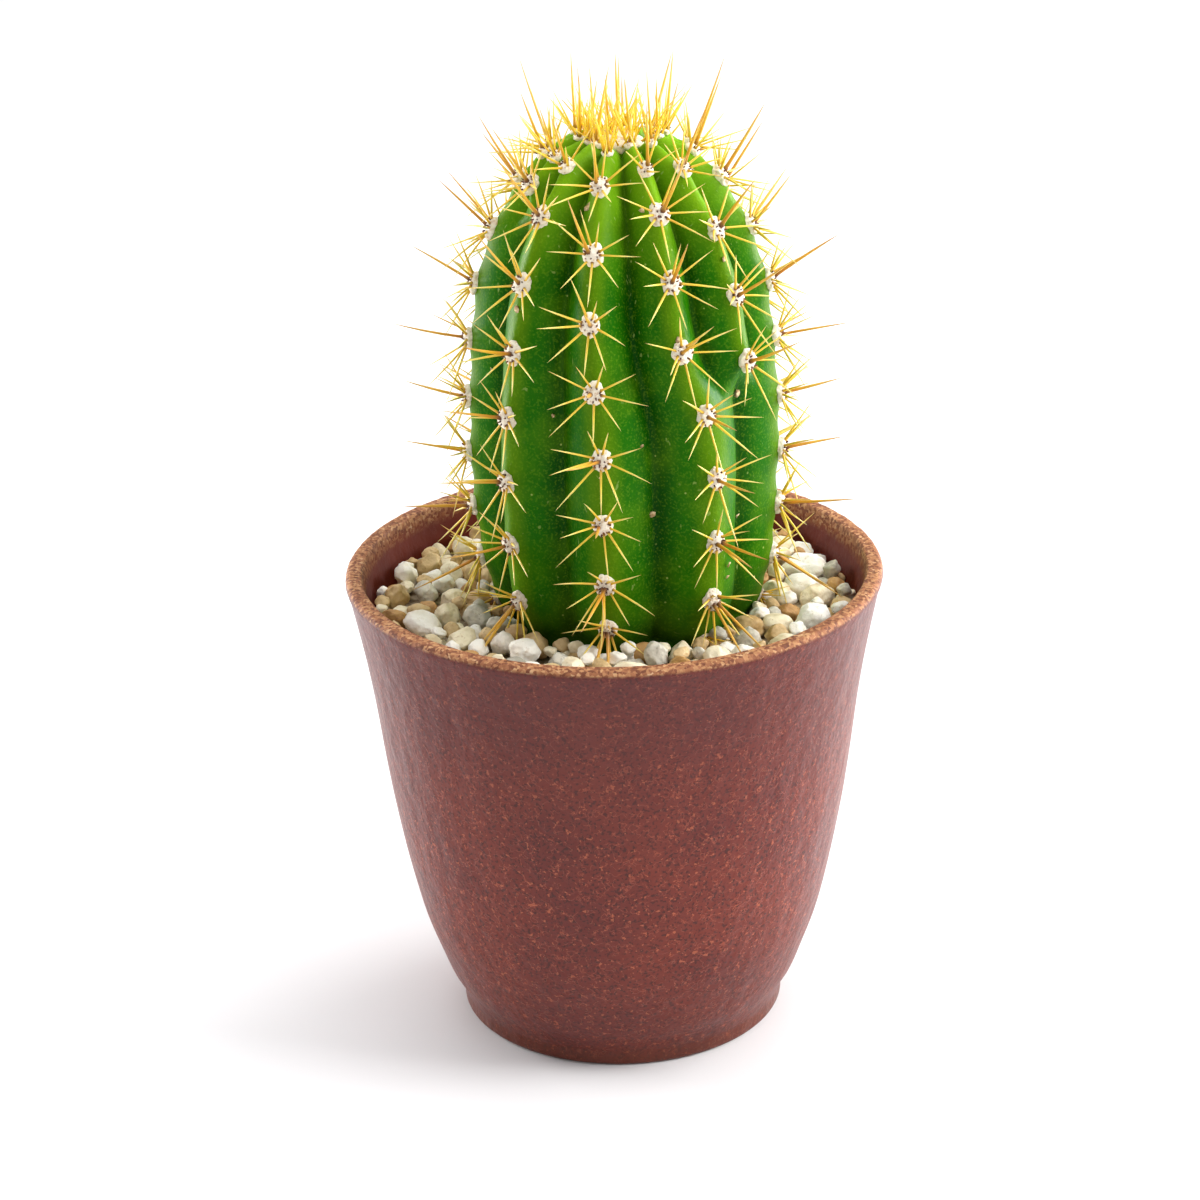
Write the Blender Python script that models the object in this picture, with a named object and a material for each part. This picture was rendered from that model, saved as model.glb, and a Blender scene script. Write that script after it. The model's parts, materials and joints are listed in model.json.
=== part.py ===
"""Potted torch cactus: a ribbed column cactus in a thick-walled round pot, topped with pebbles.

Metres, +Z up. The origin is the centre of the pot's foot, where it stands.
Angles are in degrees around the pot, 0 at the front (-Y) and growing towards +X.
"""
import math
import random

import bmesh
import bpy
from mathutils import Euler, Vector

MM = 0.001
FIT_GAP = 0.3 * MM                 # room left between two pieces that touch

# Pot
POT_HEIGHT = 89.5 * MM
RIM_RADIUS = 50.0 * MM
FOOT_RADIUS = 30.8 * MM
FOOT_HEIGHT = 3.6 * MM
FOOT_RING_WIDTH = 4.5 * MM
FOOT_RECESS = 2.4 * MM
FOOT_STEP = 0.3 * MM               # how far the body stands out over the foot
WALL = 3.1 * MM
FLOOR = 3.2 * MM
LIP_ROUND = 1.3 * MM
FOOT_ROUND = 1.0 * MM
INNER_ROUND = 4.0 * MM
DRAIN_RADIUS = 6.0 * MM
# Side of the body as (share of the body's height, share of the way from foot to rim).
BODY_CURVE = ((0.0, 0.0), (0.02, 0.03), (0.05, 0.11), (0.095, 0.195), (0.225, 0.393), (0.47, 0.615),
              (0.78, 0.81), (1.0, 1.0))

# Filling
GRAVEL_DEPTH = 9.7 * MM            # rim down to the top of the fine gravel
BED_THICKNESS = 6.5 * MM

# Stem
STEM_X = 2.5 * MM                  # the plant stands a little off the pot's centre
STEM_HEIGHT = 90.9 * MM            # above the fine gravel, without spines
STEM_RADIUS = 28.0 * MM
ROOT_DEPTH = 30.0 * MM
RIB_DEPTH = 5.2 * MM
# Crest outline: (share of the stem's radius, share of its height above the gravel).
STEM_CURVE = ((0.79, 0.0), (0.90, 0.08), (0.965, 0.19), (1.0, 0.36), (0.985, 0.53), (0.935, 0.695),
              (0.835, 0.80), (0.70, 0.887), (0.53, 0.955), (0.35, 0.99), (0.17, 1.0))
# Outline of the buried part, down to the root's tip: (share of the radius, share of its depth).
ROOT_CURVE = ((0.0, -1.0), (0.16, -0.98), (0.34, -0.80), (0.50, -0.52), (0.66, -0.22))
CREASE_START = 0.03                # share of the way up where the creases come to full depth
LOW_CREASE = 0.55                  # how deep the creases are at the gravel, 1 for full depth
LOW_END = 0.35                     # height where the creases, and the areole spacing, are full
CROWN_FADE = 0.55                  # share of the radius inside which the creases fade out
CREASE_POWER = 1.6                 # 1 gives a plain V groove, more gives rounder rib crests

# Ribs: angle low on the stem, angle at the top, height where the rib starts (as a share of the
# stem's height, 0 for a rib that rises from the gravel), and height of its lowest areole.
RIBS = (
    (-162, -158, 0.0, 0.15), (-125, -124, 0.0, 0.19), (-87, -91, 0.0, 0.14), (-68, -67, 0.82, 0.93),
    (-49, -45, 0.0, 0.11), (-9, -13, 0.0, 0.18), (34, 20, 0.0, 0.125), (56, 50, 0.50, 0.60),
    (84, 88, 0.0, 0.135), (122, 121, 0.0, 0.18), (160, 153, 0.0, 0.15), (179, 178, 0.46, 0.60),
)
TURN_START, TURN_END = 0.42, 0.72  # heights between which the ribs drift to their top angles
RIB_FADE = 0.14                    # height over which a late rib rises out of its valley

# Areoles and spines
AREOLE_STEP = 12.0 * MM
LOW_SPACING = 0.78                 # how close the lowest areoles are, 1 for a full step
LAST_AREOLE = 0.93                 # share of the way up past which the crown tuft takes over
AREOLE_RADIUS = 1.9 * MM
AREOLE_HEIGHT = 1.0 * MM
RADIAL_LENGTH = 7.2 * MM
CENTRAL_LENGTH = 12.0 * MM
CENTRAL_WIDTH = 1.0 * MM
CENTRAL_RISE = 0.25                # how much a central spine turns upwards
PAD_TAPER = 0.88                   # width of a felt pad's top against its base
STUB_HEIGHT = 1.4 * MM             # where a central spine starts to taper
LINK_WIDTH = 0.9 * MM
LINK_LOW, LINK_HIGH = 0.7 * MM, 1.3 * MM
SPINE_LIFT = 20.0                  # degrees a radial spine stands off the skin
PAD_SIDES = 6
CROWN_TUFT_RADIUS = 2.6 * MM
CROWN_SPINES = 9
CROWN_SPINE_LENGTH = 14.5 * MM
CROWN_LEAN = 0.35                  # how far a crown spine leans out, as a share of its length

# Pebbles: angle, share of the way from the stem to the wall, length, width, height in mm, kind
PEBBLES = (
    (-72, 0.70, 8.0, 6.8, 5.6, "white"), (-57, 0.45, 7.2, 5.2, 4.4, "cream"),
    (-45, 0.18, 4.8, 4.2, 5.2, "white"), (-32, 0.20, 6.8, 5.2, 5.6, "white"),
    (-74, 0.08, 5.6, 5.0, 5.0, "grey"), (-79, 0.33, 6.2, 5.0, 4.6, "cream"),
    (-97, 0.60, 6.2, 4.6, 4.4, "grey"), (-95, 0.30, 6.2, 4.4, 4.2, "cream"),
    (-94, 0.86, 5.2, 4.8, 5.4, "tan"), (-106, 0.92, 5.0, 4.6, 5.6, "white"),
    (-130, 0.70, 6.0, 5.2, 5.8, "cream"), (-117, 0.82, 5.2, 4.4, 5.2, "tan"),
    (-115, 0.48, 5.4, 4.2, 4.4, "cream"), (-104, 0.18, 5.0, 3.6, 3.6, "brown"),
    (-128, 0.24, 5.0, 4.2, 4.2, "cream"), (-80, 0.92, 5.6, 4.2, 4.0, "brown"),
    (-20, 0.18, 5.0, 4.0, 3.8, "grey"), (-12, 0.32, 4.6, 4.4, 4.6, "cream"),
    (-4, 0.30, 4.4, 4.0, 4.0, "tan"), (5, 0.28, 8.6, 5.4, 4.6, "cream"),
    (12, 0.12, 4.6, 4.4, 5.4, "grey"), (19, 0.42, 7.6, 5.0, 4.2, "brown"),
    (31, 0.42, 7.4, 5.6, 4.8, "cream"), (48, 0.26, 6.0, 5.0, 5.2, "grey"),
    (58, 0.36, 4.6, 4.2, 4.2, "tan"), (51, 0.66, 7.2, 5.2, 4.6, "cream"),
    (71, 0.62, 7.2, 6.2, 5.6, "white"), (87, 0.62, 9.6, 5.0, 4.8, "cream"),
    (78, 0.25, 5.2, 4.0, 3.6, "brown"), (108, 0.68, 8.6, 6.8, 5.6, "white"),
    (97, 0.92, 4.0, 3.6, 3.6, "brown"), (120, 0.25, 5.4, 4.6, 4.4, "tan"),
    (-12, 0.82, 5.4, 4.6, 4.2, "white"), (14, 0.84, 5.0, 4.4, 4.0, "grey"),
    (-40, 0.74, 5.6, 4.4, 4.0, "tan"), (140, 0.62, 6.4, 5.4, 5.0, "cream"),
    (162, 0.40, 5.8, 4.8, 4.6, "grey"), (-176, 0.66, 7.0, 5.6, 5.0, "white"),
    (-158, 0.44, 6.2, 5.0, 4.6, "tan"), (-146, 0.72, 5.6, 5.0, 4.8, "grey"),
)
SETTLING_STEPS = 80
PEBBLE_LEVEL = 0.12                # share of the way up the stem where the pebbles touch it
BIGGEST_PEBBLE = max(pebble[4] for pebble in PEBBLES) * MM

SIDES = 48                         # sides of everything turned round the pot

COLOURS = {
    "pot": (0.19, 0.055, 0.045), "soil": (0.05, 0.03, 0.02), "gravel": (0.55, 0.46, 0.34),
    "skin": (0.045, 0.17, 0.012), "spine": (0.62, 0.37, 0.08),
    "white": (0.80, 0.76, 0.68), "cream": (0.70, 0.61, 0.44), "grey": (0.50, 0.47, 0.42),
    "tan": (0.48, 0.33, 0.18), "brown": (0.32, 0.16, 0.06),
}

# Heights that follow from the sizes above
BED_TOP = POT_HEIGHT - GRAVEL_DEPTH
BED_BOTTOM = BED_TOP - BED_THICKNESS
FLOOR_TOP = FOOT_RECESS + FLOOR
PEBBLE_TOP = BED_TOP + BIGGEST_PEBBLE + 2 * FIT_GAP


def clear_scene():
    for thing in list(bpy.data.objects):
        bpy.data.objects.remove(thing, do_unlink=True)


def material(name):
    made = bpy.data.materials.new(name)
    made.use_nodes = True
    shader = made.node_tree.nodes["Principled BSDF"]
    shader.inputs["Base Color"].default_value = (*COLOURS[name], 1.0)
    shader.inputs["Roughness"].default_value = 0.55
    shader.inputs["Metallic"].default_value = 0.0
    return made


def add_mesh(name, points, faces, surface, sharp_angle=40.0):
    """Make one closed, outward-facing object from points and faces."""
    mesh = bpy.data.meshes.new(name)
    mesh.from_pydata([tuple(point) for point in points], [], faces)
    work = bmesh.new()
    work.from_mesh(mesh)
    bmesh.ops.recalc_face_normals(work, faces=work.faces)
    work.to_mesh(mesh)
    work.free()
    mesh.shade_smooth()
    mesh.set_sharp_from_angle(angle=math.radians(sharp_angle))
    mesh.materials.append(material(surface))
    thing = bpy.data.objects.new(name, mesh)
    bpy.context.collection.objects.link(thing)
    return thing


def smooth_curve(points, share):
    """Height of a smooth curve through (x, y) points, read at x = share."""
    last = len(points) - 1
    slopes = []
    for index in range(len(points)):
        before = points[max(index - 1, 0)]
        after = points[min(index + 1, last)]
        slopes.append((after[1] - before[1]) / (after[0] - before[0]))
    share = min(max(share, points[0][0]), points[last][0])
    index = 0
    while index < last - 1 and share > points[index + 1][0]:
        index += 1
    (x0, y0), (x1, y1) = points[index], points[index + 1]
    t = (share - x0) / (x1 - x0)
    span = x1 - x0
    return ((1 + 2 * t) * (1 - t) ** 2 * y0 + t * (1 - t) ** 2 * span * slopes[index]
            + t * t * (3 - 2 * t) * y1 + t * t * (t - 1) * span * slopes[index + 1])


def smooth_step(low, high, value):
    t = min(max((value - low) / (high - low), 0.0), 1.0)
    return t * t * (3 - 2 * t)


def ring(radius, height, centre_x=0.0):
    """Points of a level circle, starting at the front."""
    points = []
    for side in range(SIDES):
        angle = math.tau * side / SIDES
        points.append((centre_x + radius * math.sin(angle), -radius * math.cos(angle), height))
    return points


def skin_rings(rings, looped=False, capped=False):
    """Faces that join a stack of equal rings, looped back to the first or capped at its ends."""
    count = len(rings[0])
    points = [point for one in rings for point in one]
    faces = []
    pairs = len(rings) if looped else len(rings) - 1
    for level in range(pairs):
        low = level * count
        high = ((level + 1) % len(rings)) * count
        for side in range(count):
            after = (side + 1) % count
            faces.append((low + side, low + after, high + after, high + side))
    if capped:
        faces.append(tuple(range(count)))
        faces.append(tuple(range((len(rings) - 1) * count, len(rings) * count)))
    return points, faces


# ---- Pot -----------------------------------------------------------------------------------

def body_radius(height):
    """Outer radius of the pot's side at a height above the floor it stands on."""
    share = (height - FOOT_HEIGHT) / (POT_HEIGHT - FOOT_HEIGHT)
    start = FOOT_RADIUS + FOOT_STEP
    return start + (RIM_RADIUS - start) * smooth_curve(BODY_CURVE, share)


def inner_radius(height):
    """Inner radius of the pot, rounded where the wall meets the floor."""
    straight = body_radius(max(height, FOOT_HEIGHT)) - WALL
    above_floor = height - FLOOR_TOP
    if above_floor >= INNER_ROUND:
        return straight
    drop = INNER_ROUND - max(above_floor, 0.0)
    return straight - (INNER_ROUND - math.sqrt(INNER_ROUND ** 2 - drop ** 2))


def arc(centre_r, centre_z, radius, start, end, steps):
    """Points (r, z) of an arc, angles in degrees from the +r direction."""
    points = []
    for step in range(steps + 1):
        angle = math.radians(start + (end - start) * step / steps)
        points.append((centre_r + radius * math.cos(angle), centre_z + radius * math.sin(angle)))
    return points


def build_pot():
    """One shell: foot ring, recessed floor with a drain hole, flared side and rounded lip."""
    outline = [(DRAIN_RADIUS, FOOT_RECESS), (FOOT_RADIUS - FOOT_RING_WIDTH, FOOT_RECESS),
               (FOOT_RADIUS - FOOT_RING_WIDTH, 0.0)]
    outline += arc(FOOT_RADIUS - FOOT_ROUND, FOOT_ROUND, FOOT_ROUND, -90, 0, 3)
    outline.append((FOOT_RADIUS, FOOT_HEIGHT))
    body_levels = 11
    for level in range(body_levels):
        height = FOOT_HEIGHT + (POT_HEIGHT - LIP_ROUND - FOOT_HEIGHT) * level / body_levels
        outline.append((body_radius(height), height))
    outline += arc(RIM_RADIUS - LIP_ROUND, POT_HEIGHT - LIP_ROUND, LIP_ROUND, 0, 90, 3)
    wall_levels = 8
    wall_bottom = FLOOR_TOP + INNER_ROUND
    for level in range(wall_levels):
        height = POT_HEIGHT - (POT_HEIGHT - wall_bottom) * level / wall_levels
        outline.append((inner_radius(height), height))
    for drop in (0.0, 0.5, 1.0):
        height = wall_bottom - INNER_ROUND * drop
        outline.append((inner_radius(height), height))
    outline.append((DRAIN_RADIUS, FLOOR_TOP))
    rings = [ring(radius, height) for radius, height in outline]
    points, faces = skin_rings(rings, looped=True)
    return add_mesh("pot", points, faces, "pot")


# ---- Stem surface --------------------------------------------------------------------------

def crest_point(share):
    """(radius, height) of the rib crests; share runs 0..1 from the gravel over the top."""
    last = len(STEM_CURVE) - 1
    place = share * last
    radii = [(index, point[0]) for index, point in enumerate(STEM_CURVE)]
    heights = [(index, point[1]) for index, point in enumerate(STEM_CURVE)]
    radius = smooth_curve(radii, place) * STEM_RADIUS
    height = BED_TOP + smooth_curve(heights, place) * STEM_HEIGHT
    return radius, height


def root_point(share):
    """(radius, height) of the buried part; share runs 0..1 from its tip up to the gravel."""
    curve = ROOT_CURVE + ((STEM_CURVE[0][0], 0.0),)
    last = len(curve) - 1
    place = share * last
    radius = smooth_curve([(index, point[0]) for index, point in enumerate(curve)], place)
    height = smooth_curve([(index, point[1]) for index, point in enumerate(curve)], place)
    return radius * STEM_RADIUS, BED_TOP + height * ROOT_DEPTH


def crest_normal(share):
    """Outward direction (r, z) of the crest outline."""
    step = 0.002
    r0, z0 = crest_point(max(share - step, 0.0))
    r1, z1 = crest_point(min(share + step, 1.0))
    length = math.hypot(r1 - r0, z1 - z0)
    return (z1 - z0) / length, -(r1 - r0) / length


def height_share(share):
    return (crest_point(share)[1] - BED_TOP) / STEM_HEIGHT


def rib_angle(rib, tall):
    low, high = RIBS[rib][0], RIBS[rib][1]
    return low + (high - low) * smooth_step(TURN_START, TURN_END, tall)


def rib_presence(rib, tall):
    """0 where a late rib hasn't started, 1 where it stands at full height."""
    start = RIBS[rib][2]
    if start == 0.0:
        return 1.0
    return smooth_step(start, start + RIB_FADE, tall)


def groove(angle, tall):
    """Depth of the surface below the crests, 0 on a crest and 1 in the deepest crease."""
    full = [rib for rib in range(len(RIBS)) if RIBS[rib][2] == 0.0]
    wide = between_ribs(angle, full, tall)
    near = between_ribs(angle, range(len(RIBS)), tall)
    late = 1.0
    for rib in range(len(RIBS)):
        if rib not in full and late_rib_reaches(rib, angle, full, tall):
            late = rib_presence(rib, tall)
    return late * near + (1.0 - late) * wide


def late_rib_reaches(rib, angle, full, tall):
    """Whether an angle lies in the valley that a late rib grows in."""
    left, right = neighbours(rib_angle(rib, tall), full, tall)
    return (angle - left) % 360.0 <= (right - left) % 360.0


def neighbours(angle, ribs, tall):
    """Angles of the crests on either side."""
    offsets = [(angle - rib_angle(rib, tall)) % 360.0 for rib in ribs]
    return angle - min(offsets), angle + min(360.0 - offset for offset in offsets)


def between_ribs(angle, ribs, tall):
    left, right = neighbours(angle, ribs, tall)
    span = right - left
    if span < 1e-6:
        return 0.0
    across = abs(2.0 * (angle - left) / span - 1.0)
    return (1.0 - across) ** CREASE_POWER


def rib_depth(share):
    """Crease depth, shallow at the gravel, fading out on the crown."""
    tall = height_share(share)
    radius = crest_point(share)[0]
    low = LOW_CREASE + (1.0 - LOW_CREASE) * smooth_step(0.0, LOW_END, tall)
    return RIB_DEPTH * low * min(1.0, radius / (CROWN_FADE * STEM_RADIUS))


def on_stem(angle, share, depth=0.0, lift=0.0):
    """A point in space on the stem, sunk by depth and raised by lift along the crest's normal."""
    radius, height = crest_point(share)
    out_r, out_z = crest_normal(share)
    radius += out_r * (lift - depth)
    height += out_z * (lift - depth)
    turn = math.radians(angle)
    return Vector((STEM_X + radius * math.sin(turn), -radius * math.cos(turn), height))


def column_angles(tall):
    """Angles of the mesh columns: each crest, each crease and two places between."""
    order = sorted(range(len(RIBS)), key=lambda rib: RIBS[rib][0] % 360)
    angles = []
    for place, rib in enumerate(order):
        here = rib_angle(rib, tall)
        span = (rib_angle(order[(place + 1) % len(order)], tall) - here) % 360.0
        angles += [here + span * step / 4 for step in range(4)]
    return angles


def build_stem():
    """The ribbed column, its sunken crown and the part that is buried in the soil."""
    rings = []
    root_levels = 7
    for level in range(1, root_levels):
        share = level / root_levels
        radius, height = root_point(share)
        rings.append([(STEM_X + radius * math.sin(math.radians(angle)),
                       -radius * math.cos(math.radians(angle)), height)
                      for angle in column_angles(0.0)])
    levels = 24
    for level in range(levels + 1):
        share = level / levels
        tall = height_share(share)
        depth = rib_depth(share) * smooth_step(0.0, CREASE_START, share)
        rings.append([tuple(on_stem(angle, share, depth * groove(angle, tall)))
                      for angle in column_angles(tall)])
    points, faces = skin_rings(rings, capped=True)
    return add_mesh("cactus_stem", points, faces, "skin")


# ---- Soil and gravel bed -------------------------------------------------------------------

def buried_radius(height):
    """Radius of the buried stem at a height, read from its outline."""
    steps = 60
    for step in range(steps + 1):
        radius, level = root_point(step / steps)
        if level >= height:
            return radius
    return root_point(1.0)[0]


def build_soil():
    """Soil from the pot's floor up to the gravel, with a pocket for the buried stem."""
    rings = [ring(inner_radius(FLOOR_TOP) - FIT_GAP, FLOOR_TOP + FIT_GAP)]
    wall_bottom = FLOOR_TOP + INNER_ROUND
    top = BED_BOTTOM - FIT_GAP
    for share in (0.0, 0.25, 0.5, 0.75, 1.0):
        height = wall_bottom + (top - wall_bottom) * share
        rings.append(ring(inner_radius(height) - 2 * FIT_GAP, height))
    root_tip = BED_TOP - ROOT_DEPTH
    for share in (1.0, 0.85, 0.65, 0.45, 0.25, 0.08):
        height = root_tip + (top - root_tip) * share
        rings.append(ring(buried_radius(height + FIT_GAP) + 2 * FIT_GAP, height, STEM_X))
    rings.append(ring(buried_radius(root_tip + 2 * FIT_GAP), root_tip - 2 * FIT_GAP, STEM_X))
    points, faces = skin_rings(rings, capped=True)
    return add_mesh("potting_soil", points, faces, "soil")


def build_gravel_bed():
    """Layer of fine gravel on the soil, round the stem."""
    rings = []
    for share in (0.0, 0.33, 0.67, 1.0):
        height = BED_BOTTOM + BED_THICKNESS * share
        rings.append(ring(inner_radius(height) - 2 * FIT_GAP, height))
    for share in (1.0, 0.67, 0.33, 0.0):
        height = BED_BOTTOM + BED_THICKNESS * share
        rings.append(ring(buried_radius(height + FIT_GAP) + 2 * FIT_GAP, height, STEM_X))
    points, faces = skin_rings(rings, looped=True)
    return add_mesh("gravel_bed", points, faces, "gravel")


# ---- Areoles and spines --------------------------------------------------------------------

def rib_spacing(rib, share):
    """Distance from a crest to the nearest crest beside it."""
    tall = height_share(share)
    here = rib_angle(rib, tall)
    others = [other for other in range(len(RIBS)) if other != rib and rib_presence(other, tall) > 0.0]
    left, right = neighbours(here, others, tall)
    return math.radians(min(here - left, right - here)) * crest_point(share)[0]


def areole_shares(rib):
    """Places of the areoles along a rib, from the lowest to the last one before the crown."""
    shares = []
    share = 0.0
    while height_share(share) < RIBS[rib][3]:
        share += 0.002
    travelled = AREOLE_STEP
    before = on_stem(0.0, share)
    while share < LAST_AREOLE and crest_point(share)[0] > 2.2 * CROWN_TUFT_RADIUS + AREOLE_RADIUS:
        here = on_stem(0.0, share)
        travelled += (here - before).length
        before = here
        low = LOW_SPACING + (1.0 - LOW_SPACING) * smooth_step(0.0, LOW_END, height_share(share))
        if travelled >= AREOLE_STEP * low:
            shares.append(share)
            travelled = 0.0
        share += 0.002
    return shares


def areole_frame(rib, share):
    """Crest point, outward normal, direction down the rib and direction across it."""
    angle = rib_angle(rib, height_share(share))
    point = on_stem(angle, share, lift=FIT_GAP)
    normal = (on_stem(angle, share, lift=MM) - on_stem(angle, share)).normalized()
    turn = math.radians(angle)
    across = Vector((math.cos(turn), math.sin(turn), 0.0))
    return point, normal, across.cross(normal).normalized(), across


def pad_corner(frame, place, radius, height):
    point, normal, down, across = frame
    angle = math.tau * (place - 0.5) / PAD_SIDES
    return point + normal * height + (down * math.cos(angle) + across * math.sin(angle)) * radius


def face_corners(base, side):
    """Corners of one side of a pad: low, low, high, high."""
    after = (side + 1) % PAD_SIDES
    return [base + side, base + after, base + PAD_SIDES + after, base + PAD_SIDES + side]


def add_spike(points, faces, corners, tip):
    points.append(tip)
    for index in range(len(corners)):
        faces.append((corners[index], corners[(index + 1) % len(corners)], len(points) - 1))


def add_areole(points, faces, frame, scale, reach, open_sides):
    """A felt pad with a spine on each side and a longer one in the middle."""
    point, normal, down, across = frame
    base = len(points)
    for radius, height in ((1.0, 0.0), (PAD_TAPER, AREOLE_HEIGHT * scale)):
        for place in range(PAD_SIDES):
            points.append(pad_corner(frame, place, AREOLE_RADIUS * scale * radius, height))
    faces.append(tuple(base + place for place in range(PAD_SIDES)))
    lift = math.radians(SPINE_LIFT)
    for side in range(PAD_SIDES):
        if side in open_sides:
            continue
        angle = math.tau * side / PAD_SIDES
        outward = down * math.cos(angle) + across * math.sin(angle)
        start = point + normal * (0.5 * AREOLE_HEIGHT * scale) + outward * AREOLE_RADIUS * scale
        tip = start + (outward * math.cos(lift) + normal * math.sin(lift)) * reach
        add_spike(points, faces, face_corners(base, side), tip)
    stub = len(points)
    for place in range(PAD_SIDES):
        points.append(pad_corner(frame, place, 0.5 * CENTRAL_WIDTH * scale, STUB_HEIGHT * scale))
    for place in range(PAD_SIDES):
        after = (place + 1) % PAD_SIDES
        faces.append((base + PAD_SIDES + place, base + PAD_SIDES + after, stub + after, stub + place))
    tip = point + (normal + Vector((0.0, 0.0, CENTRAL_RISE))).normalized() * CENTRAL_LENGTH * scale
    add_spike(points, faces, [stub + place for place in range(PAD_SIDES)], tip)
    return base


def add_link(points, faces, lower, upper, middle):
    """The down-pointing spine that reaches from one areole to the areole below it."""
    up_side = PAD_SIDES // 2
    start = face_corners(lower, up_side)
    end = face_corners(upper, 0)
    end = [end[1], end[0], end[3], end[2]]
    point, normal, down, across = middle
    ring_start = len(points)
    half = 0.5 * LINK_WIDTH
    for side, height in ((half, LINK_LOW), (-half, LINK_LOW), (-half, LINK_HIGH), (half, LINK_HIGH)):
        points.append(point + across * side + normal * height)
    waist = [ring_start + index for index in range(4)]
    for one, other in ((start, waist), (waist, end)):
        for index in range(4):
            after = (index + 1) % 4
            faces.append((one[index], one[after], other[after], other[index]))


def build_spine_row(rib, number):
    """All areoles of one rib, joined by the spines that lie down along its crest."""
    points, faces = [], []
    shares = areole_shares(rib)
    bases = []
    for index, share in enumerate(shares):
        frame = areole_frame(rib, share)
        spacing = rib_spacing(rib, share)
        scale = min(1.0, spacing / (5.0 * AREOLE_RADIUS))
        reach = min(RADIAL_LENGTH, 0.5 * spacing - AREOLE_RADIUS * scale - FIT_GAP)
        reach = min(reach, max(frame[0].z - AREOLE_RADIUS - PEBBLE_TOP, AREOLE_HEIGHT))
        open_sides = set()
        if index > 0:
            open_sides.add(0)
        if index < len(shares) - 1:
            open_sides.add(PAD_SIDES // 2)
        bases.append(add_areole(points, faces, frame, scale, reach, open_sides))
    for index in range(len(shares) - 1):
        middle = areole_frame(rib, 0.5 * (shares[index] + shares[index + 1]))
        add_link(points, faces, bases[index], bases[index + 1], middle)
    return add_mesh("spine_row_%02d" % number, points, faces, "spine", sharp_angle=30.0)


def build_crown_tuft():
    """Woolly growing point in the dip at the top, with its young upright spines."""
    top_height = crest_point(1.0)[1]
    points, faces = [], []
    sides = CROWN_SPINES
    levels = ((1.0, 0.0), (0.95, 0.9 * MM), (0.45, 1.5 * MM))
    for share, height in levels:
        for side in range(sides):
            angle = math.tau * side / sides
            radius = CROWN_TUFT_RADIUS * share
            points.append(Vector((STEM_X + radius * math.sin(angle), -radius * math.cos(angle),
                                  top_height + FIT_GAP + height)))
    faces.append(tuple(range(sides)))
    for side in range(sides):
        after = (side + 1) % sides
        faces.append((side, after, sides + after, sides + side))
        corners = [sides + side, sides + after, 2 * sides + after, 2 * sides + side]
        angle = math.tau * (side + 0.5) / sides
        lean = CROWN_LEAN * CROWN_SPINE_LENGTH
        tip = Vector((STEM_X + (CROWN_TUFT_RADIUS + lean) * math.sin(angle),
                      -(CROWN_TUFT_RADIUS + lean) * math.cos(angle),
                      top_height + CROWN_SPINE_LENGTH * (0.8 + 0.2 * (side % 2))))
        add_spike(points, faces, corners, tip)
    faces.append(tuple(range(2 * sides, 3 * sides)))
    return add_mesh("crown_tuft", points, faces, "spine", sharp_angle=30.0)


# ---- Pebbles -------------------------------------------------------------------------------

def settle(stones):
    """Push the pebbles apart, and keep them between the stem and the pot's wall."""
    wall = inner_radius(BED_TOP) - FIT_GAP
    core = crest_point(PEBBLE_LEVEL)[0] + FIT_GAP
    for _ in range(SETTLING_STEPS):
        for first in range(len(stones)):
            for second in range(first + 1, len(stones)):
                one, other = stones[first], stones[second]
                apart = other["place"] - one["place"]
                room = one["radius"] + other["radius"] + FIT_GAP
                if apart.length < room:
                    push = apart.normalized() * 0.5 * (room - apart.length)
                    one["place"] -= push
                    other["place"] += push
        for stone in stones:
            place = stone["place"]
            if place.length > wall - stone["radius"]:
                place *= (wall - stone["radius"]) / place.length
            from_stem = place - Vector((STEM_X, 0.0))
            if from_stem.length < core + stone["radius"]:
                from_stem *= (core + stone["radius"]) / from_stem.length
                place = Vector((STEM_X, 0.0)) + from_stem
            stone["place"] = place
    return stones


def pebble_layout():
    """Plan position, size and kind of each pebble."""
    wall = inner_radius(BED_TOP)
    core = crest_point(PEBBLE_LEVEL)[0]
    stones = []
    for angle, share, length, width, height, kind in PEBBLES:
        turn = math.radians(angle)
        direction = Vector((math.sin(turn), -math.cos(turn)))
        inner = core + STEM_X * direction.x
        half = 0.25 * (length + width) * MM
        distance = inner + half + (wall - inner - 2 * half) * share
        stones.append({"place": direction * distance, "radius": 0.5 * length * MM,
                       "size": (length * MM, width * MM, height * MM), "kind": kind})
    return settle(stones)


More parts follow.
